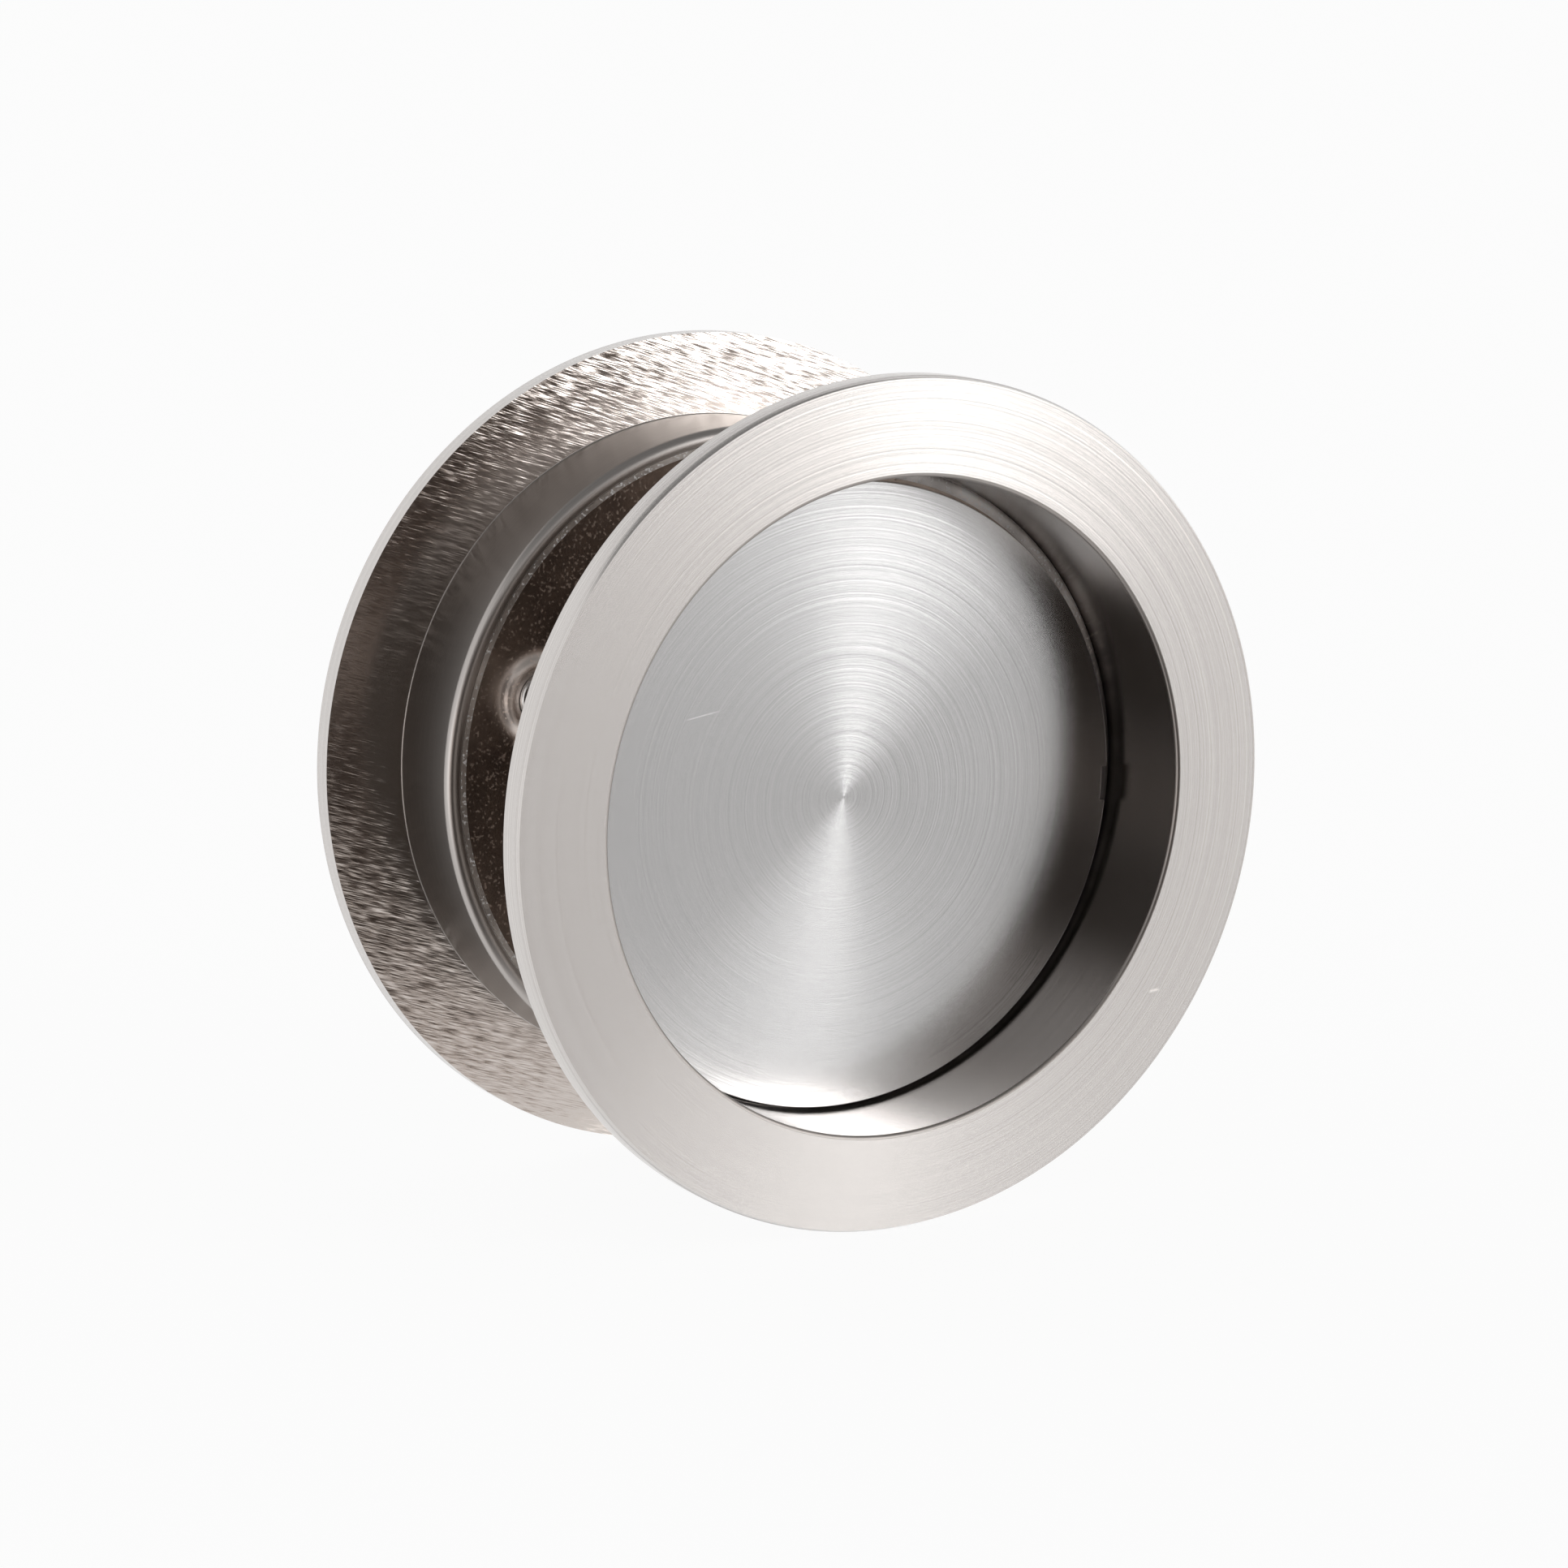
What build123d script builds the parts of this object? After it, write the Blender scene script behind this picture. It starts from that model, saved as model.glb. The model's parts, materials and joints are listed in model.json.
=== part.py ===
from build123d import *
import math
import os

# A pair of round flush pulls, one on each face of a sliding door, screwed to each other through it.
# Sizes are in millimetres. The pulls share one axis along Y, the front one faces -Y, and +Z is up.
# The origin is on that axis, half way through the door.

# The door that the pair clamps
door_thickness = 29.0

# The turned body: a flange on the door's face and a hub in the door's round hole
flange_diameter = 65.0
flange_thickness = 2.1
edge_bevel_height = 0.45
edge_bevel_width = 0.2
recess_diameter = 50.0
recess_depth = 8.3
mouth_rounding = 0.45
hub_wall = 1.1
hub_root_rounding = 0.15
rim_rounding = 0.5
rim_inner_bevel = 0.1

# The cover disc, which lies a little low in the recess
disc_thickness = 0.5
disc_clearance = 0.8
disc_drop_share = 0.69
disc_shift_share = 0.09
disc_edge_rounding = 0.12
notch_width = 2.6
notch_depth = 0.45
notch_angle = -3.5

# The double-sided pad that holds the cover disc on the plate
pad_clearance = 1.15
pad_thickness = 0.18
pad_gap = 0.01

# The fixing plate, a shallow pressed cup whose cut edge faces into the door
sheet_thickness = 0.45
plate_corner_radius = 0.6
skirt_height = 0.42
rim_overlap = 0.1
press_clearance = 0.02
dimple_root_rounding = 1.2
dimple_shoulder_rounding = 1.0

# The two countersunk screws and their sleeve nuts
bolt_inset = 6.0
bolt_angle = 160.4
screw_diameter = 4.0
screw_head_diameter = 6.7
screw_hole_diameter = 4.3
sleeve_diameter = 5.0
sleeve_head_diameter = 7.7
sleeve_hole_diameter = 5.3
sleeve_standoff = 2.5
thread_engagement = 8.0
thread_clearance = 0.05
seat_clearance = 0.05
bore_end_space = 1.2
tip_bevel = 0.4
driver_slot_length = 3.4
driver_slot_width = 0.9
driver_slot_depth = 1.0

# Radii, and depths from the door's face into the door
flange_radius = flange_diameter / 2
recess_radius = recess_diameter / 2
hub_radius = recess_radius + hub_wall
disc_radius = recess_radius - disc_clearance
disc_drop = disc_drop_share * disc_clearance
disc_shift = disc_shift_share * disc_clearance
bolt_circle_radius = recess_radius - bolt_inset
pad_radius = bolt_circle_radius - sleeve_head_diameter / 2 - pad_clearance
face_depth = -flange_thickness
disc_front_depth = face_depth + recess_depth
disc_back_depth = disc_front_depth + disc_thickness
plate_front_depth = disc_back_depth + pad_thickness + 2 * pad_gap
plate_back_depth = plate_front_depth + sheet_thickness
skirt_end_depth = plate_back_depth + skirt_height
rim_depth = skirt_end_depth + rim_overlap

# Lengths of the screws and sleeves, which follow from the door
grip_length = door_thickness - 2 * plate_front_depth
dimple_depth = (screw_head_diameter - screw_hole_diameter) / 2
sleeve_length = grip_length - dimple_depth - sleeve_standoff
screw_length = grip_length - sleeve_length + thread_engagement

everywhere = 1000.0


def turned(points):
    """A solid turned about the pull's axis from points of radius and depth."""
    outline = make_face(Polyline(*points, close=True))
    return revolve(outline, Axis.Y, 360)


def circle_edges(shape, radius, depth):
    """The round edges of one radius that lie at one depth."""
    close = 0.01
    found = [
        edge
        for edge in shape.edges().filter_by(GeomType.CIRCLE)
        if abs(edge.radius - radius) < close and abs(edge.arc_center.Y - depth) < close
    ]
    return ShapeList(found)


def bolt_places():
    """Where the two bolts cross the pull's plane, opposite each other."""
    angles = [math.radians(bolt_angle + turn) for turn in (0, 180)]
    radius = bolt_circle_radius
    return [Pos(radius * math.cos(angle), 0, radius * math.sin(angle)) for angle in angles]


def pull_body():
    """Flange, hub and through recess, turned in one piece."""
    body = turned(
        [
            (recess_radius, face_depth),
            (flange_radius - edge_bevel_width, face_depth),
            (flange_radius, face_depth + edge_bevel_height),
            (flange_radius, 0),
            (hub_radius, 0),
            (hub_radius, rim_depth),
            (recess_radius, rim_depth),
        ]
    )
    body = fillet(circle_edges(body, recess_radius, face_depth), mouth_rounding)
    body = fillet(circle_edges(body, hub_radius, rim_depth), rim_rounding)
    body = fillet(circle_edges(body, hub_radius, 0), hub_root_rounding)
    return chamfer(circle_edges(body, recess_radius, rim_depth), rim_inner_bevel)


def dimple(head_diameter, hole_diameter):
    """The countersunk hole pressed through the plate: what it adds behind, what it opens and its two bends."""
    head_radius = head_diameter / 2
    hole_radius = hole_diameter / 2
    depth = head_radius - hole_radius
    slant_wall = sheet_thickness * math.sqrt(2)
    end_depth = plate_front_depth + depth
    base_radius = head_radius + slant_wall - sheet_thickness
    raised = turned(
        [
            (0, plate_front_depth),
            (base_radius, plate_front_depth),
            (base_radius, plate_back_depth),
            (hole_radius + slant_wall, end_depth),
            (0, end_depth),
        ]
    )
    opened = turned(
        [
            (0, plate_front_depth),
            (head_radius, plate_front_depth),
            (hole_radius, end_depth),
            (0, end_depth),
        ]
    )
    bends = [
        (base_radius, plate_back_depth, dimple_root_rounding),
        (hole_radius + slant_wall, end_depth, dimple_shoulder_rounding),
    ]
    return raised, opened, bends


def fixing_plate(head_diameter, hole_diameter):
    """A pressed cup with a flat web, a skirt that fits in the hub and two dimpled screw holes."""
    plate_radius = recess_radius - press_clearance
    inner_radius = plate_radius - sheet_thickness
    plate = turned(
        [
            (0, plate_front_depth),
            (plate_radius, plate_front_depth),
            (plate_radius, skirt_end_depth),
            (inner_radius, skirt_end_depth),
            (inner_radius, plate_back_depth),
            (0, plate_back_depth),
        ]
    )
    plate = fillet(circle_edges(plate, plate_radius, plate_front_depth), plate_corner_radius)
    inner_corner = plate_corner_radius - sheet_thickness
    plate = fillet(circle_edges(plate, inner_radius, plate_back_depth), inner_corner)
    raised, opened, bends = dimple(head_diameter, hole_diameter)
    for place in bolt_places():
        plate = plate + place * raised
    for radius, depth, rounding in bends:
        plate = fillet(circle_edges(plate, radius, depth), rounding)
    for place in bolt_places():
        plate = plate - place * opened
    return plate


def cover_disc():
    """A thin disc with a notch in its edge, by which it is prised out."""
    disc = turned(
        [
            (0, disc_front_depth),
            (disc_radius, disc_front_depth),
            (disc_radius, disc_back_depth),
            (0, disc_back_depth),
        ]
    )
    disc = fillet(circle_edges(disc, disc_radius, disc_front_depth), disc_edge_rounding)
    cutter = Pos(disc_radius, disc_front_depth, 0) * Box(2 * notch_depth, everywhere, notch_width)
    disc = disc - Rot(0, -notch_angle, 0) * cutter
    return Pos(-disc_shift, 0, -disc_drop) * disc


def cover_pad():
    """The round pad between the cover disc and the fixing plate."""
    front = disc_back_depth + pad_gap
    back = plate_front_depth - pad_gap
    return turned([(0, front), (pad_radius, front), (pad_radius, back), (0, back)])


def driver_recess():
    """A cross for the screwdriver, narrowing into the head from the plate's front."""
    cross = Rectangle(driver_slot_length, driver_slot_width)
    cross += Rectangle(driver_slot_width, driver_slot_length)
    start = Plane(origin=(0, plate_front_depth, 0), x_dir=(1, 0, 0), z_dir=(0, 1, 0))
    return extrude(start * cross, driver_slot_depth, taper=10)


def countersunk_screw():
    """A screw whose head fills the dimple, seen from the side of its own pull."""
    radius = screw_diameter / 2
    head_radius = screw_head_diameter / 2 - seat_clearance
    tip_depth = plate_front_depth + screw_length
    screw = turned(
        [
            (0, plate_front_depth),
            (head_radius, plate_front_depth),
            (radius, plate_front_depth + head_radius - radius),
            (radius, tip_depth - tip_bevel),
            (radius - tip_bevel, tip_depth),
            (0, tip_depth),
        ]
    )
    return screw - driver_recess()


def sleeve_nut():
    """A sleeve with a countersunk head and a blind threaded bore, open towards the screw."""
    radius = sleeve_diameter / 2
    head_radius = sleeve_head_diameter / 2 - seat_clearance
    bore_radius = screw_diameter / 2 + thread_clearance
    end_depth = plate_front_depth + sleeve_length
    bore_depth = thread_engagement + bore_end_space
    sleeve = turned(
        [
            (0, plate_front_depth),
            (head_radius, plate_front_depth),
            (radius, plate_front_depth + head_radius - radius),
            (radius, end_depth),
            (bore_radius, end_depth),
            (bore_radius, end_depth - bore_depth),
            (0, end_depth - bore_depth),
        ]
    )
    return sleeve - driver_recess()


def on_front(shape):
    """Puts a piece of a pull, modelled from the door's face inwards, on the front of the door."""
    return Pos(0, -door_thickness / 2, 0) * shape


def on_rear(shape):
    """Puts a piece of a pull on the rear of the door, facing the front one."""
    return mirror(on_front(shape), about=Plane.XZ)


nodes = {
    "front_body": on_front(pull_body()),
    "rear_body": on_rear(pull_body()),
    "front_fixing_plate": on_front(fixing_plate(sleeve_head_diameter, sleeve_hole_diameter)),
    "rear_fixing_plate": on_rear(fixing_plate(screw_head_diameter, screw_hole_diameter)),
    "front_cover_disc": on_front(cover_disc()),
    "rear_cover_disc": on_rear(cover_disc()),
    "front_cover_pad": on_front(cover_pad()),
    "rear_cover_pad": on_rear(cover_pad()),
}
for side, place in zip(("left", "right"), bolt_places()):
    nodes[side + "_screw"] = on_rear(place * countersunk_screw())
    nodes[side + "_sleeve_nut"] = on_front(place * sleeve_nut())

os.makedirs("parts", exist_ok=True)
for name, shape in nodes.items():
    export_step(shape, "parts/" + name + ".step")
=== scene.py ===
import json
import math

import bmesh
import bpy
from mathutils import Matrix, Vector


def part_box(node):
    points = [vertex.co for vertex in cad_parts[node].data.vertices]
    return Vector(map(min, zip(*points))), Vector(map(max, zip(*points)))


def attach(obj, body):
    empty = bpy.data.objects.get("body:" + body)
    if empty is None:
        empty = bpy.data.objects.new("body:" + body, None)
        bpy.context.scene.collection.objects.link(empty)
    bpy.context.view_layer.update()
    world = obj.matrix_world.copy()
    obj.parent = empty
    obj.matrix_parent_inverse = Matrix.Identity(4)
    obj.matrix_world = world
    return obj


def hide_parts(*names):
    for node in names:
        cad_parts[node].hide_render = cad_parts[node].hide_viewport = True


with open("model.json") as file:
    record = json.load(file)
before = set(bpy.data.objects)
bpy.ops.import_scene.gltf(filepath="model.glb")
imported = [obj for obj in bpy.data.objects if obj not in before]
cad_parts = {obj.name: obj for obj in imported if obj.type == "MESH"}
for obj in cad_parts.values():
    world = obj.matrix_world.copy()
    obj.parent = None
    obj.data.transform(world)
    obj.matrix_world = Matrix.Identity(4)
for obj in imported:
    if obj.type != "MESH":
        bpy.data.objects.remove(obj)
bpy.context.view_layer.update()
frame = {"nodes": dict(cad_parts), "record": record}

MM = 0.001

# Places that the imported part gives
mounts = {mount["name"]: mount for mount in frame["record"]["mounts"]}
DOOR_FACE = abs(mounts["rear_door_seat"]["pos_m"][1])
body_low, body_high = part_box("rear_body")
plate_low, plate_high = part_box("rear_fixing_plate")
disc_low, disc_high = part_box("rear_cover_disc")

# Sizes of the turned body, depths measured from the door's face into the door
FLANGE_RADIUS = body_high.z
FACE_DEPTH = DOOR_FACE - body_high.y
RIM_DEPTH = DOOR_FACE - body_low.y
RECESS_RADIUS = 25.0 * MM
HUB_RADIUS = 26.1 * MM
EDGE_BEVEL_WIDTH = 0.2 * MM
EDGE_BEVEL_HEIGHT = 0.45 * MM
MOUTH_ROUNDING = 0.3 * MM
RIM_ROUNDING = 0.8 * MM
ROOT_ROUNDING = 0.08 * MM
RIM_INNER_BEVEL = 0.1 * MM

# Sizes of the pressed plate and of its countersunk holes
PLATE_RADIUS = plate_high.z
PLATE_FRONT = DOOR_FACE - plate_high.y
SHEET = 0.45 * MM
PLATE_BACK = PLATE_FRONT + SHEET
SKIRT_HEIGHT = 0.42 * MM
SKIRT_END = PLATE_BACK + SKIRT_HEIGHT
PLATE_CORNER = 0.6 * MM
SKIRT_RADIUS = PLATE_RADIUS - SHEET
WEB_RADIUS = SKIRT_RADIUS - PLATE_CORNER
DIMPLE_ROOT = 1.2 * MM
DIMPLE_SHOULDER = 1.0 * MM
DIMPLE_DEPTH = DOOR_FACE - plate_low.y - PLATE_FRONT
SCREW_HOLE_RADIUS = 2.15 * MM
SLEEVE_HOLE_RADIUS = 2.65 * MM

# Sizes of the screws' thread
SHANK_RADIUS = 2.0 * MM
THREAD_PITCH = 0.7 * MM
THREAD_HEIGHT = 0.2 * MM

# Sizes of the cover disc
DISC_CENTRE = (disc_low + disc_high) / 2
DISC_RADIUS = (disc_high.z - disc_low.z) / 2
DISC_FRONT = DOOR_FACE - disc_high.y
DISC_BACK = DOOR_FACE - disc_low.y
DISC_EDGE_ROUNDING = 0.12 * MM
NOTCH_WIDTH = 2.6 * MM
NOTCH_DEPTH = 0.45 * MM
NOTCH_ANGLE = math.radians(-3.5)

# Fineness of the meshes
STEPS = 360
DIMPLE_STEPS = 120
ROUNDING_STEPS = 8
DISC_EDGE_STEPS = 3
NOTCH_STEPS = 6
SHARP_ANGLE = math.radians(25)
MERGE = 2e-6

# A rounding between two faces at 45 degrees takes this share of its radius off each of them
BEND_SHARE = math.tan(math.radians(22.5))

# Marks on the metal: turned rings, brushed strokes, patches, pits and dust; and painted shade low down and
# painted highlights round the dimples
LATHE_ARC = 1.9
STROKE = (1.5 * MM, 0.08 * MM)
LONG_STROKE = (5.0 * MM, 0.3 * MM)
LONG_STROKE_SHARE = 0.3
BRUSH_TILT = math.radians(-19)
PATCH = 3.0 * MM
PATCH_CONTRAST = 1.2
PIT = 0.22 * MM
PIT_DEPTH = 0.02 * MM
DUST_EDGE = (0.6, 0.68)
DUST_ROUGHNESS = 0.3
# Painted shade: the sheet darkens from the first height down to the second
UNSHADED_ABOVE, SHADED_BELOW = 13.0 * MM, 3.0 * MM
# Painted highlight: the sheet lightens towards each bolt between these radii
HIGHLIGHT_FROM, HIGHLIGHT_TO = 4.7 * MM, 2.6 * MM


class Signal:
    """A number or vector that changes over a surface, written as Python sums."""

    def __init__(self, tree, socket=None):
        self.tree = tree
        self.socket = socket

    def node(self, kind, settings, inputs, output=0):
        made = self.tree.nodes.new(kind)
        for name, value in settings.items():
            setattr(made, name, value)
        for key, value in inputs.items():
            if isinstance(value, Signal):
                self.tree.links.new(value.socket, made.inputs[key])
            else:
                made.inputs[key].default_value = value
        return Signal(self.tree, made.outputs[output] if made.outputs else None)

    def math(self, operation, *values):
        return self.node("ShaderNodeMath", {"operation": operation}, dict(enumerate(values)))

    def __add__(self, other):
        return self.math("ADD", self, other)

    __radd__ = __add__

    def __mul__(self, other):
        return self.math("MULTIPLY", self, other)

    __rmul__ = __mul__

    def __sub__(self, other):
        return self.math("SUBTRACT", self, other)

    def __rsub__(self, other):
        return self.math("SUBTRACT", other, self)

    def __truediv__(self, other):
        return self.math("DIVIDE", self, other)

    def __pow__(self, other):
        return self.math("POWER", self, other)

    def __abs__(self):
        return self.math("ABSOLUTE", self)

    def ramp(self, start, end):
        """Rises smoothly from 0 at start to 1 at end, and falls where start is the larger."""
        low, high, first, last = (start, end, 0.0, 1.0) if start < end else (end, start, 1.0, 0.0)
        inputs = {"Value": self, "From Min": low, "From Max": high, "To Min": first, "To Max": last}
        return self.node("ShaderNodeMapRange", {"interpolation_type": "SMOOTHSTEP"}, inputs)


def new_material(name):
    material = bpy.data.materials.new(name)
    material.use_nodes = True
    material.node_tree.nodes.clear()
    return material, Signal(material.node_tree)


def close_material(start, shader):
    start.node("ShaderNodeOutputMaterial", {}, {"Surface": shader})


def vector(start, x, y, z):
    return start.node("ShaderNodeCombineXYZ", {}, {"X": x, "Y": y, "Z": z})


def vector_math(start, operation, one, other):
    """A sum on two vectors, or a vector scaled by a number."""
    key = "Scale" if operation == "SCALE" else 1
    return start.node("ShaderNodeVectorMath", {"operation": operation}, {0: one, key: other}, "Vector")


def place_on_piece(start):
    """The three Object coordinates, in metres."""
    place = start.node("ShaderNodeTexCoord", {}, {}, "Object")
    return [start.node("ShaderNodeSeparateXYZ", {}, {"Vector": place}, axis) for axis in "XYZ"]


def noise(start, place, detail):
    settings = {"noise_dimensions": "3D"}
    inputs = {"Vector": place, "Scale": 1.0, "Detail": detail}
    return start.node("ShaderNodeTexNoise", settings, inputs, "Fac")


def chance(start, place):
    """A bell-shaped random number at each place, with a spread of 1."""
    settings = {"noise_dimensions": "1D"}
    colour = start.node("ShaderNodeTexWhiteNoise", settings, {"W": place}, "Color")
    channels = ("Red", "Green", "Blue")
    parts = [start.node("ShaderNodeSeparateColor", {}, {"Color": colour}, channel) for channel in channels]
    return (parts[0] + parts[1] + parts[2] - 1.5) * 2


def bump(start, height, distance):
    inputs = {"Height": height, "Distance": distance, "Strength": 1.0}
    return start.node("ShaderNodeBump", {}, inputs, "Normal")


def round_place(start, x, z, centre):
    """Radius and direction about an axis along Y."""
    across = x - centre[0]
    up = z - centre[1]
    radius = (across * across + up * up) ** 0.5
    return radius, across / radius, up / radius


def even_rings(start, travel, pitch, seed):
    """Full rings round the axis, about a pitch apart, as a lathe leaves them."""
    settings = {"noise_dimensions": "1D"}
    inputs = {"W": travel / pitch + seed, "Scale": 1.0, "Detail": 0.0}
    return start.node("ShaderNodeTexNoise", settings, inputs, "Fac") - 0.5


def broken_rings(start, travel, cosine, sine, pitch, seed):
    """Rings that fade in and out as they go round."""
    place = vector(start, travel / pitch + seed, cosine / LATHE_ARC, sine / LATHE_ARC)
    return noise(start, place, 1.0) - 0.5


def strokes(start, along, across, size, seed, detail):
    """Short strokes of one length and width."""
    length, width = size
    return noise(start, vector(start, along / length, seed, across / width), detail) - 0.5


def straight_mark(x, z, first, last, half_width):
    """1 along a thin straight mark that thins out to its ends, 0 off it."""
    length = math.dist(first, last)
    cosine, sine = (last[0] - first[0]) / length, (last[1] - first[1]) / length
    along = (x - first[0]) * cosine + (z - first[1]) * sine
    across = (z - first[1]) * cosine - (x - first[0]) * sine
    ends = along.ramp(0.0, length / 3) * along.ramp(length, length * 2 / 3)
    return abs(across).ramp(half_width, 0.0) * ends


def marked_normal(start, marks, slope):
    """The surface turned across its marks by a slope."""
    surface = start.node("ShaderNodeNewGeometry", {}, {}, "Normal")
    across = vector_math(start, "CROSS_PRODUCT", marks, surface)
    tilted = vector_math(start, "ADD", surface, vector_math(start, "SCALE", across, slope))
    return start.node("ShaderNodeVectorMath", {"operation": "NORMALIZE"}, {0: tilted}, "Vector")


def metal(start, colour, roughness, normal):
    inputs = {"Base Color": colour, "Metallic": 1.0, "Roughness": roughness, "Normal": normal}
    return start.node("ShaderNodeBsdfPrincipled", {}, inputs)


def turned_metal(
    name, colour, roughness, seed, sheen, lines, pitch, shine, scratches=0.0, centre=(0.0, 0.0), marks=()
):
    """Metal with turning marks. The sheen and scratches are slopes too fine to see, which spread the light;
    the lines show, as slopes and by their shine. The marks are on the front pull alone."""
    material, start = new_material(name)
    x, y, z = place_on_piece(start)
    radius, cosine, sine = round_place(start, x, z, centre)
    travel = radius + y
    spread = chance(start, travel)
    even = even_rings(start, travel, pitch, seed)
    broken = broken_rings(start, travel, cosine, sine, pitch, seed + 57.0)
    slope = spread * (sheen + scratches * spread * spread) + (even + broken) * lines
    round_the_axis = vector(start, sine * -1, 0.0, cosine)
    gain = (even + broken) * shine + 1
    for first, last, half_width, strength in marks:
        front_only = y.ramp(0.0, -MM)
        gain = gain + straight_mark(x, z, first, last, half_width) * front_only * strength
    shade = vector_math(start, "SCALE", colour, gain)
    close_material(start, metal(start, shade, roughness, marked_normal(start, round_the_axis, slope)))
    return material


def brushed_metal(name, colour, roughness, tilt, seed, sheen, lines):
    """Metal brushed in short straight strokes, tilted from X towards Z."""
    material, start = new_material(name)
    x, y, z = place_on_piece(start)
    cosine, sine = math.cos(tilt), math.sin(tilt)
    along = x * cosine + z * sine
    across = z * cosine - x * sine
    fine = strokes(start, along, across, STROKE, seed, 1.0)
    coarse = strokes(start, along, across, LONG_STROKE, seed + 9.0, 0.0)
    slope = chance(start, across) * sheen + (fine + coarse * LONG_STROKE_SHARE) * lines
    brushing = vector(start, cosine, 0.0, sine)
    close_material(start, metal(start, (*colour, 1.0), roughness, marked_normal(start, brushing, slope)))
    return material


def speckled_metal(name, colour, roughness, seed, specks, relief, painted_shade=0.0, painted_highlight=0.0):
    """Rolled sheet: patchy, a little pitted and dusty, with painted shade darkening it low down and a
    painted highlight round its dimples.
    """
    material, start = new_material(name)
    x, y, z = place_on_piece(start)
    patches = noise(start, vector(start, x / PATCH + seed, y / PATCH, z / PATCH), 2.0)
    pits = noise(start, vector(start, x / PIT, y / PIT + seed, z / PIT), 1.0)
    dust = pits.ramp(*DUST_EDGE)
    # Painted shade: the colour darkens towards the bottom
    shaded_low = z.ramp(UNSHADED_ABOVE, SHADED_BELOW) * painted_shade
    gain = ((patches - 0.5) * PATCH_CONTRAST + dust * specks + 1) * (1 - shaded_low)
    shade = vector_math(start, "SCALE", colour, gain)
    # Painted highlight: nickel colour added round each dimple's hole
    if painted_highlight:
        for centre in bolt_places():
            bright = round_place(start, x, z, centre)[0].ramp(HIGHLIGHT_FROM, HIGHLIGHT_TO) * painted_highlight
            shade = vector_math(start, "ADD", shade, vector_math(start, "SCALE", NICKEL, bright))
    normal = bump(start, pits, relief * PIT_DEPTH)
    close_material(start, metal(start, shade, dust * DUST_ROUGHNESS + roughness, normal))
    return material


def threaded_metal(name, colour, roughness):
    """A screw's metal: its shank carries a thread, its wider head none."""
    material, start = new_material(name)
    x, y, z = place_on_piece(start)
    height = 0.0
    for centre in bolt_places():
        radius, cosine, sine = round_place(start, x, z, centre)
        turns = sine.math("ARCTAN2", sine, cosine) / (2 * math.pi)
        shank = radius.ramp(SHANK_RADIUS + 0.2 * MM, SHANK_RADIUS + 0.1 * MM)
        travel = y / THREAD_PITCH + turns
        height = height + travel.math("PINGPONG", travel, 0.5) * 2 * shank
    close_material(start, metal(start, (*colour, 1.0), roughness, bump(start, height, THREAD_HEIGHT)))
    return material


def plain_finish(name, colour, roughness, metallic):
    material, start = new_material(name)
    inputs = {"Base Color": (*colour, 1.0), "Metallic": metallic, "Roughness": roughness}
    close_material(start, start.node("ShaderNodeBsdfPrincipled", {}, inputs))
    return material


def outline(bm, corners, close):
    """A line through (radius, depth, rounding) corners, each rounded as it says."""
    line = [bm.verts.new((radius, depth, 0.0)) for radius, depth, rounding in corners]
    pairs = list(zip(line, line[1:]))
    if close:
        pairs.append((line[-1], line[0]))
    for pair in pairs:
        bm.edges.new(pair)
    for vert, (radius, depth, rounding) in zip(line, corners):
        if rounding:
            bmesh.ops.bevel(
                bm, geom=[vert], offset=rounding, offset_type="OFFSET", segments=ROUNDING_STEPS,
                profile=0.5, affect="VERTICES", material=-1,
            )


def turn(bm, centre=(0.0, 0.0), steps=STEPS):
    """Spins everything drawn so far about an axis along Y."""
    bmesh.ops.spin(
        bm, geom=bm.verts[:] + bm.edges[:], cent=(centre[0], 0, centre[1]), axis=(0, 1, 0),
        dvec=(0, 0, 0), angle=2 * math.pi, steps=steps, use_merge=True,
    )


def set_in_door(bm, rear):
    """Moves a mesh drawn in depths to the front or the rear of the door."""
    if rear:
        bmesh.ops.scale(bm, vec=(1, -1, 1), verts=bm.verts)
    shift = DOOR_FACE if rear else -DOOR_FACE
    bmesh.ops.translate(bm, vec=(0, shift, 0), verts=bm.verts)


def paint(bm, index, test):
    """Gives a finish to the faces that pass the test of their centre's radius and depth."""
    for face in bm.faces:
        middle = face.calc_center_median()
        if test(math.hypot(middle.x, middle.z), middle.y):
            face.material_index = index


def finished(name, bm, materials, node):
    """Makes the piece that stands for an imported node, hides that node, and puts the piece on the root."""
    bmesh.ops.remove_doubles(bm, verts=bm.verts, dist=MERGE)
    bmesh.ops.recalc_face_normals(bm, faces=bm.faces)
    for face in bm.faces:
        face.smooth = True
    for edge in bm.edges:
        edge.smooth = len(edge.link_faces) == 2 and edge.calc_face_angle() < SHARP_ANGLE
    mesh = bpy.data.meshes.new(name)
    bm.to_mesh(mesh)
    bm.free()
    piece = bpy.data.objects.new(name, mesh)
    bpy.context.scene.collection.objects.link(piece)
    for material in materials:
        mesh.materials.append(material)
    shading = piece.modifiers.new("even_shading", "WEIGHTED_NORMAL")
    shading.keep_sharp = True
    shading.weight = 100
    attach(piece, "root")
    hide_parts(node)


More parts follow.
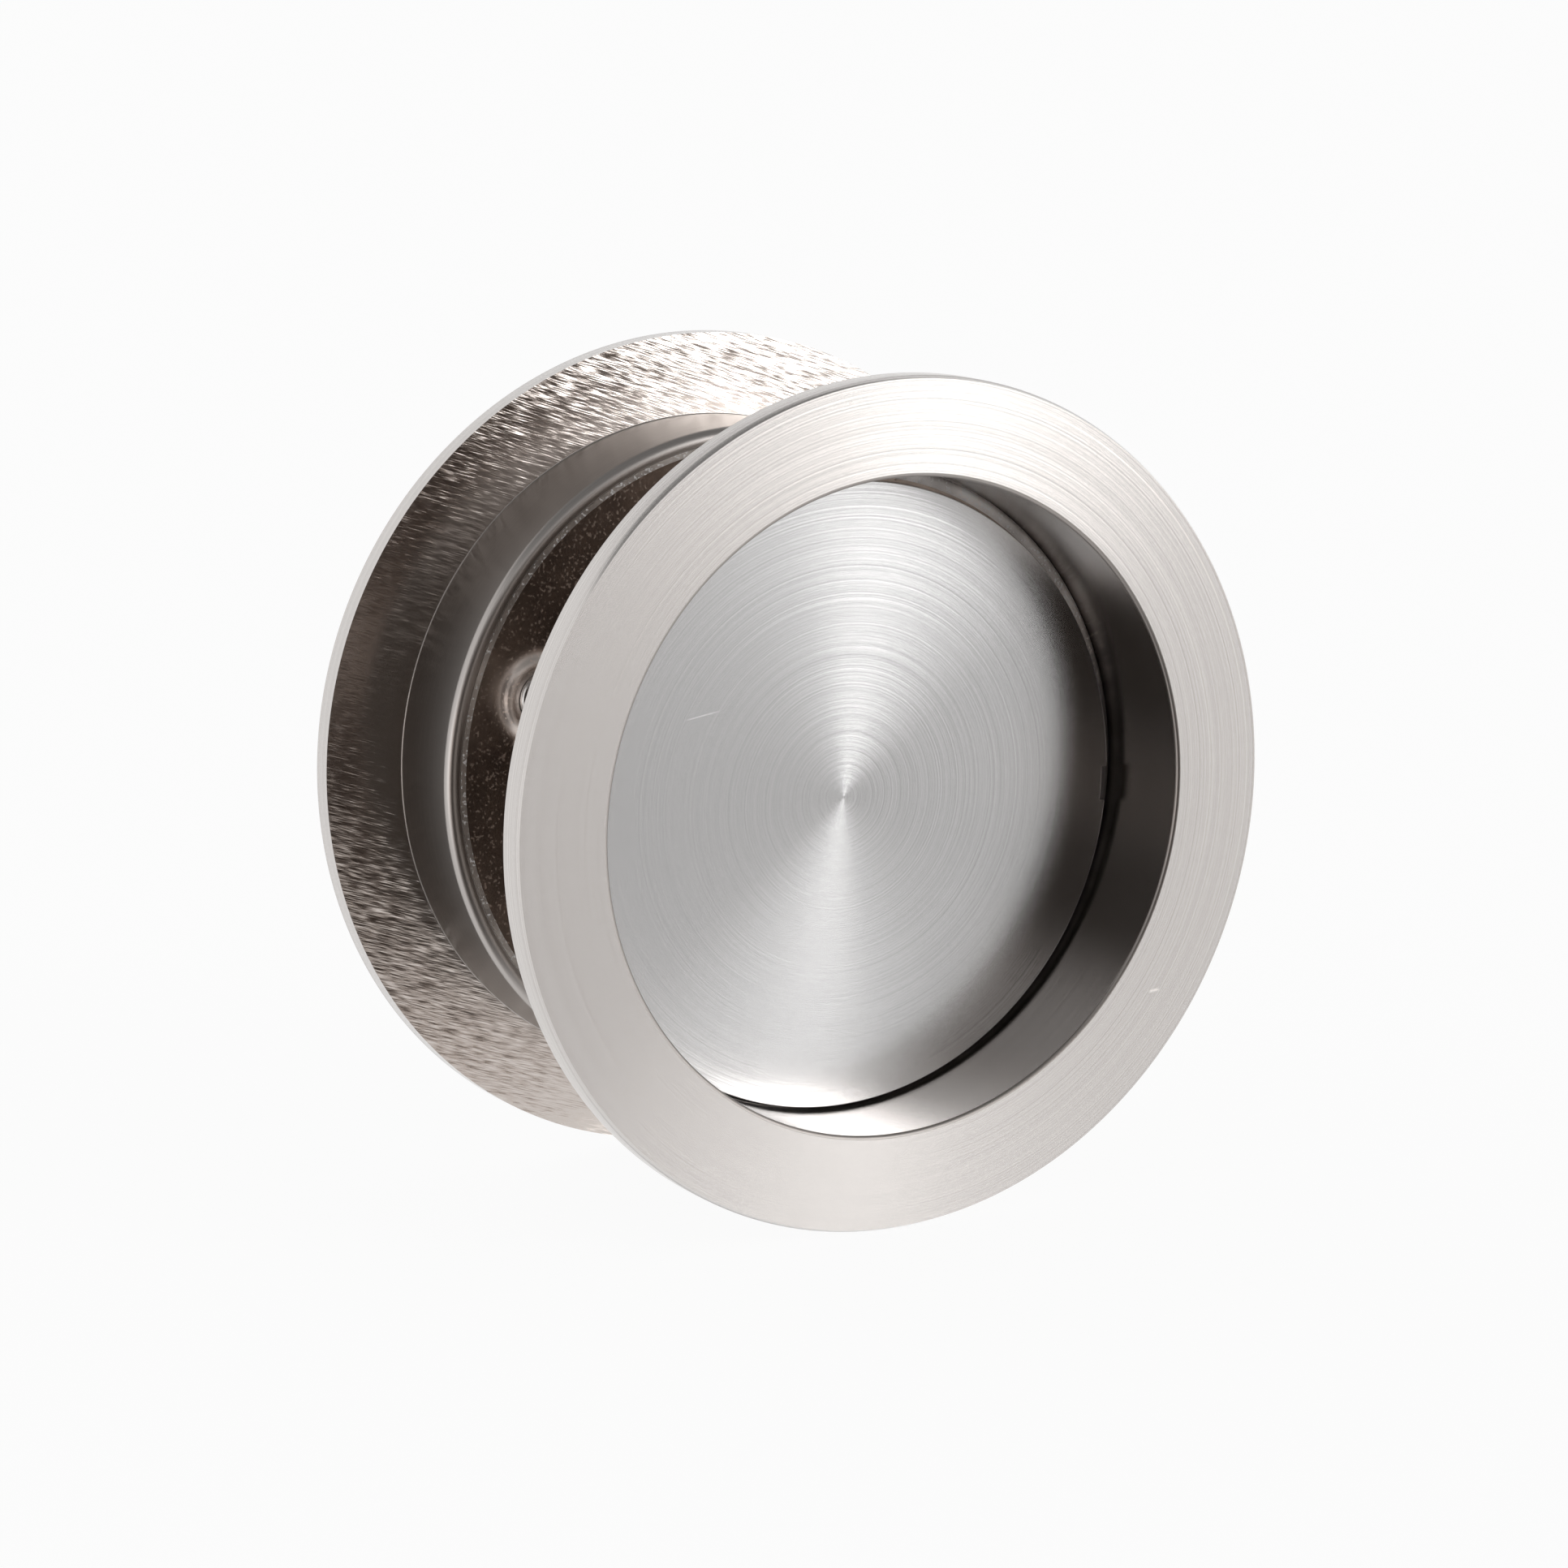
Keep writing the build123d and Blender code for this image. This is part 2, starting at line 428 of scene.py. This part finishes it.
def pull_body(rear):
    """Flange, hub and through recess, turned from one outline."""
    bm = bmesh.new()
    outline(
        bm,
        [
            (RECESS_RADIUS, FACE_DEPTH, MOUTH_ROUNDING),
            (FLANGE_RADIUS - EDGE_BEVEL_WIDTH, FACE_DEPTH, 0),
            (FLANGE_RADIUS, FACE_DEPTH + EDGE_BEVEL_HEIGHT, 0),
            (FLANGE_RADIUS, 0, 0),
            (HUB_RADIUS, 0, ROOT_ROUNDING),
            (HUB_RADIUS, RIM_DEPTH, RIM_ROUNDING),
            (RECESS_RADIUS + RIM_INNER_BEVEL, RIM_DEPTH, 0),
            (RECESS_RADIUS, RIM_DEPTH - RIM_INNER_BEVEL, 0),
        ],
        close=True,
    )
    turn(bm)
    wall = RECESS_RADIUS + MERGE
    mouth_edge = RECESS_RADIUS + MOUTH_ROUNDING
    beyond_hub = HUB_RADIUS + 2 * ROOT_ROUNDING
    paint(bm, 1, lambda radius, depth: abs(depth) < MERGE and radius > beyond_hub)
    paint(bm, 2, lambda radius, depth: depth > MERGE and radius > wall)
    paint(bm, 3, lambda radius, depth: abs(radius - RECESS_RADIUS) < MERGE)
    paint(bm, 4, lambda radius, depth: depth < -MERGE and wall < radius < mouth_edge)
    set_in_door(bm, rear)
    return bm


def bolt_places():
    """Centres of the two bolts, from the screws themselves."""
    places = []
    for side in ("left", "right"):
        low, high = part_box(side + "_screw")
        places.append(((low.x + high.x) / 2, (low.z + high.z) / 2))
    return places


def add_dimple(bm, hole_radius, centre):
    """One countersunk hole with its bends, up to flat web all round it."""
    head_radius = hole_radius + DIMPLE_DEPTH
    flat_radius = head_radius + 2 * DIMPLE_ROOT * BEND_SHARE
    slant_wall = SHEET * math.sqrt(2)
    end = PLATE_FRONT + DIMPLE_DEPTH
    dimple = bmesh.new()
    outline(
        dimple,
        [
            (flat_radius, PLATE_FRONT, 0),
            (head_radius, PLATE_FRONT, (DIMPLE_ROOT + SHEET) * BEND_SHARE),
            (hole_radius, end, 0),
            (hole_radius + slant_wall, end, DIMPLE_SHOULDER * BEND_SHARE),
            (head_radius + slant_wall - SHEET, PLATE_BACK, DIMPLE_ROOT * BEND_SHARE),
            (flat_radius, PLATE_BACK, 0),
        ],
        close=False,
    )
    bmesh.ops.translate(dimple, vec=(centre[0], 0, centre[1]), verts=dimple.verts)
    turn(dimple, centre, DIMPLE_STEPS)
    mesh = bpy.data.meshes.new("dimple")
    dimple.to_mesh(mesh)
    dimple.free()
    bm.from_mesh(mesh)
    bpy.data.meshes.remove(mesh)


def fixing_plate(rear, hole_radius):
    """The pressed cup: its edge and its two dimples are spun, then the web is filled on both faces."""
    bm = bmesh.new()
    outline(
        bm,
        [
            (WEB_RADIUS, PLATE_FRONT, 0),
            (PLATE_RADIUS, PLATE_FRONT, PLATE_CORNER),
            (PLATE_RADIUS, SKIRT_END, 0),
            (SKIRT_RADIUS, SKIRT_END, 0),
            (SKIRT_RADIUS, PLATE_BACK, PLATE_CORNER - SHEET),
            (WEB_RADIUS, PLATE_BACK, 0),
        ],
        close=False,
    )
    turn(bm)
    for centre in bolt_places():
        add_dimple(bm, hole_radius, centre)
    bmesh.ops.remove_doubles(bm, verts=bm.verts, dist=MERGE)
    for depth in (PLATE_FRONT, PLATE_BACK):
        open_edges = [
            edge for edge in bm.edges
            if len(edge.link_faces) == 1 and all(abs(v.co.y - depth) < MERGE for v in edge.verts)
        ]
        bmesh.ops.triangle_fill(bm, use_beauty=True, edges=open_edges, normal=(0, 1, 0))
    paint(bm, 1, lambda radius, depth: abs(depth - SKIRT_END) < MERGE)
    paint(bm, 2, lambda radius, depth: depth < PLATE_BACK - MERGE and radius > WEB_RADIUS)
    set_in_door(bm, rear)
    return bm


def draw_arc(bm, radius, first, last, steps):
    """A line round the axis between two angles, at the depth of the disc's back."""
    start = bm.verts.new((radius * math.cos(first), DISC_BACK, radius * math.sin(first)))
    bmesh.ops.spin(
        bm, geom=[start], cent=(0, 0, 0), axis=(0, -1, 0), dvec=(0, 0, 0),
        angle=last - first, steps=steps, use_merge=False,
    )


def cover_disc(rear):
    """The disc with its notch, drawn flat, then given its thickness and its rounded edge."""
    bm = bmesh.new()
    half_notch = math.asin(NOTCH_WIDTH / 2 / DISC_RADIUS)
    notch_start, notch_end = NOTCH_ANGLE - half_notch, NOTCH_ANGLE + half_notch
    draw_arc(bm, DISC_RADIUS, notch_end, notch_start + 2 * math.pi, STEPS)
    draw_arc(bm, DISC_RADIUS - NOTCH_DEPTH, notch_start, notch_end, NOTCH_STEPS)
    ends = [vert for vert in bm.verts if len(vert.link_edges) == 1]
    ends.sort(key=lambda vert: vert.co.z)
    bm.edges.new(ends[:2])
    bm.edges.new(ends[2:])
    bmesh.ops.contextual_create(bm, geom=bm.edges[:])
    bmesh.ops.translate(bm, vec=(DISC_CENTRE.x, 0, DISC_CENTRE.z), verts=bm.verts)
    raised = bmesh.ops.extrude_face_region(bm, geom=bm.faces[:])
    top = [item for item in raised["geom"] if isinstance(item, bmesh.types.BMVert)]
    bmesh.ops.translate(bm, vec=(0, DISC_FRONT - DISC_BACK, 0), verts=top)
    front_edges = [edge for edge in bm.edges if all(abs(v.co.y - DISC_FRONT) < MERGE for v in edge.verts)]
    bmesh.ops.bevel(
        bm, geom=front_edges, offset=DISC_EDGE_ROUNDING, offset_type="OFFSET", segments=DISC_EDGE_STEPS,
        profile=0.5, affect="EDGES", material=-1,
    )
    set_in_door(bm, rear)
    return bm


def packed_shape(node):
    """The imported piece's own mesh, for a piece that is right as it is."""
    bm = bmesh.new()
    bm.from_mesh(frame["nodes"][node].data)
    return bm


# Finishes. A mark is given by its two ends, in X and Z, its half width and how much lighter it is.
NICKEL = (0.62, 0.59, 0.57)
STEEL = (0.51, 0.505, 0.503)
disc_scratch = ((-14.19 * MM, 6.74 * MM), (-10.6 * MM, 7.25 * MM), 0.1 * MM, 0.3)
rim_nick = ((22.5 * MM, -16.89 * MM), (23.7 * MM, -16.8 * MM), 0.2 * MM, 0.4)

face_finish = turned_metal(
    "turned_nickel", NICKEL, 0.2, seed=3.0, sheen=0.03, scratches=0.04, lines=0.07, pitch=0.12 * MM,
    shine=0.15, marks=[rim_nick],
)
back_finish = brushed_metal(
    "brushed_nickel", (0.61, 0.56, 0.525), 0.16, tilt=BRUSH_TILT, seed=5.0, sheen=0.07, lines=0.85
)
# The hub's nickel is a darker copy of the face's, as painted shade
hub_finish = turned_metal(
    "hub_nickel", (0.46, 0.43, 0.41), 0.34, seed=5.0, sheen=0.015, lines=0.04, pitch=0.15 * MM, shine=0.08
)
wall_finish = turned_metal(
    "bored_nickel", (0.53, 0.5, 0.48), 0.2, seed=7.0, sheen=0.03, lines=0.05, pitch=0.15 * MM, shine=0.1
)
# The mouth's nickel is a darker copy, painted shade that dims the rounding's reflection
mouth_finish = plain_finish("mouth_nickel", (0.4, 0.37, 0.35), 0.42, metallic=1.0)
disc_finish = turned_metal(
    "brushed_disc", STEEL, 0.15, seed=11.0, sheen=0.04, scratches=0.038, lines=0.05, pitch=0.12 * MM,
    shine=0.17, centre=(DISC_CENTRE.x, DISC_CENTRE.z), marks=[disc_scratch],
)
# The plate carries a painted highlight round its dimples
plate_finish = speckled_metal(
    "plated_sheet", (0.3, 0.245, 0.21), 0.36, seed=21.0, specks=0.5, relief=0.25, painted_highlight=0.8
)
cut_finish = speckled_metal("cut_sheet", (0.8, 0.77, 0.74), 0.4, seed=23.0, specks=0.7, relief=0.6)
# The margin carries painted shade, darker towards the bottom
margin_finish = speckled_metal(
    "sheet_margin", (0.85, 0.82, 0.8), 0.65, seed=25.0, specks=0.5, relief=0.5, painted_shade=0.7
)
sleeve_finish = plain_finish("sleeve_plating", NICKEL, 0.2, metallic=1.0)
screw_finish = threaded_metal("screw_plating", NICKEL, 0.25)
pad_finish = plain_finish("sticky_pad", (0.8, 0.8, 0.78), 0.8, metallic=0.0)
body_finishes = [face_finish, back_finish, hub_finish, wall_finish, mouth_finish]
plate_finishes = [plate_finish, cut_finish, margin_finish]

# Pieces of the two pulls, and the bolts between them
for side in ("front", "rear"):
    rear = side == "rear"
    hole = SCREW_HOLE_RADIUS if rear else SLEEVE_HOLE_RADIUS
    plate, pad = side + "_fixing_plate", side + "_cover_pad"
    finished(side + "_pull", pull_body(rear), body_finishes, side + "_body")
    finished(side + "_plate", fixing_plate(rear, hole), plate_finishes, plate)
    finished(side + "_disc", cover_disc(rear), [disc_finish], side + "_cover_disc")
    finished(side + "_pad", packed_shape(pad), [pad_finish], pad)
for side in ("left", "right"):
    screw, nut = side + "_screw", side + "_sleeve_nut"
    finished(side + "_bolt", packed_shape(screw), [screw_finish], screw)
    finished(side + "_sleeve", packed_shape(nut), [sleeve_finish], nut)

# Camera
CAMERA_PLACE = Vector((-0.19969, -0.33432, 0.08055))
CAMERA_TURN = math.radians(30.8)
CAMERA_DIP = math.radians(11.83)
FOCAL_PIXELS = 6337.0
PHOTO_PIXELS = 1932.0
SENSOR_WIDTH = 36.0
camera_data = bpy.data.cameras.new("camera")
camera_data.sensor_width = SENSOR_WIDTH
camera_data.lens = SENSOR_WIDTH * FOCAL_PIXELS / PHOTO_PIXELS
camera_data.clip_start = 0.01
camera = bpy.data.objects.new("camera", camera_data)
camera.location = CAMERA_PLACE
camera.rotation_euler = (math.pi / 2 - CAMERA_DIP, 0, -CAMERA_TURN)
bpy.context.scene.collection.objects.link(camera)
bpy.context.scene.camera = camera

# Floor: mostly white to the camera, and hidden from reflections, where the world is as white
FLOOR_RADIUS = 3.0
FLOOR_STEPS = 96
FLOOR_WHITENESS = 0.94
floor_mesh = bmesh.new()
bmesh.ops.create_circle(floor_mesh, cap_ends=True, segments=FLOOR_STEPS, radius=FLOOR_RADIUS)
bmesh.ops.translate(floor_mesh, vec=(0, 0, -FLANGE_RADIUS), verts=floor_mesh.verts)
floor_data = bpy.data.meshes.new("floor")
floor_mesh.to_mesh(floor_data)
floor_mesh.free()
floor = bpy.data.objects.new("floor", floor_data)
bpy.context.scene.collection.objects.link(floor)
floor_finish, start = new_material("floor_white")
seen = start.node("ShaderNodeLightPath", {}, {}, "Is Camera Ray")
matt = start.node("ShaderNodeBsdfDiffuse", {}, {"Color": (0.9, 0.9, 0.9, 1)})
white = start.node("ShaderNodeEmission", {}, {"Color": (1, 1, 1, 1), "Strength": 1.0})
close_material(start, start.node("ShaderNodeMixShader", {}, {0: seen * FLOOR_WHITENESS, 1: matt, 2: white}))
floor_data.materials.append(floor_finish)
floor.visible_glossy = False

# World: a white room, dark in front, with a bright strip right of that, a box at the left and a dim ceiling
FRONT_EDGE = (0.0, 0.2)
DARK_LEFT, DARK_LEFT_EDGE = -66, (-0.05, 0.1)
DARK_RIGHT, DARK_RIGHT_EDGE, DARK_RIGHT_SLANT = 19.5, (0.08, -0.08), 0.2
DARK_TOP_EDGE = (0.58, 0.49)
DARK_LOW_POINT, DARK_LOW_EDGE, DARK_LOW_SLANT = 10, (-0.56, -0.48), 0.65
DARKNESS, DARK_LESS_GREEN, DARK_LESS_BLUE = 0.965, 0.2, 0.32
STRIP_MIDDLE, STRIP_HALF_WIDTH = 35.4, 0.205
STRIP_LOW_EDGE, STRIP_TOP_EDGE = (-0.11, 0.02), (0.68, 0.2)
STRIP_LIGHT = 5.8
BOX_WAY = (-0.96, -0.28, -0.1)
BOX_EDGE = (math.cos(math.radians(22)), math.cos(math.radians(12)))
CEILING_EDGE, CEILING_DIMNESS = (0.6, 0.75), 0.75
world = bpy.data.worlds.new("studio")
bpy.context.scene.world = world
world.use_nodes = True
world.node_tree.nodes.clear()
start = Signal(world.node_tree)
direction = start.node("ShaderNodeTexCoord", {}, {}, "Generated")


def towards(x, y, z):
    """1 looking straight at a direction, 0 square to it."""
    way = Vector((x, y, z)).normalized()
    return start.node("ShaderNodeVectorMath", {"operation": "DOT_PRODUCT"}, {0: direction, 1: way}, "Value")


def right_of(degrees):
    """0 on the upright plane at an angle from -Y towards +X, and above 0 to the right of it."""
    angle = math.radians(degrees)
    return towards(math.cos(angle), math.sin(angle), 0)


up = towards(0, 0, 1)
front = towards(0, -1, 0).ramp(*FRONT_EDGE)
dark_right = right_of(DARK_RIGHT) + up * DARK_RIGHT_SLANT
dark_low = up - right_of(DARK_LOW_POINT) * DARK_LOW_SLANT
dark_width = right_of(DARK_LEFT).ramp(*DARK_LEFT_EDGE) * dark_right.ramp(*DARK_RIGHT_EDGE)
dark = dark_width * up.ramp(*DARK_TOP_EDGE) * dark_low.ramp(*DARK_LOW_EDGE) * front
strip_height = up.ramp(*STRIP_LOW_EDGE) * up.ramp(*STRIP_TOP_EDGE)
strip = abs(right_of(STRIP_MIDDLE)).ramp(STRIP_HALF_WIDTH, 0.0) * strip_height * front
side_box = towards(*BOX_WAY).ramp(*BOX_EDGE)
ceiling = up.ramp(*CEILING_EDGE)
light = (1 - dark * DARKNESS) * (1 - ceiling * CEILING_DIMNESS) + strip * STRIP_LIGHT + side_box
warmth = vector(start, 1.0, 1 - dark * DARK_LESS_GREEN, 1 - dark * DARK_LESS_BLUE)
background = start.node("ShaderNodeBackground", {}, {"Color": warmth, "Strength": light})
start.node("ShaderNodeOutputWorld", {}, {"Surface": background})

LIGHT_BOUNCES = 16
bpy.context.scene.view_settings.view_transform = "Standard"
bpy.context.scene.cycles.max_bounces = LIGHT_BOUNCES
bpy.context.scene.cycles.glossy_bounces = LIGHT_BOUNCES
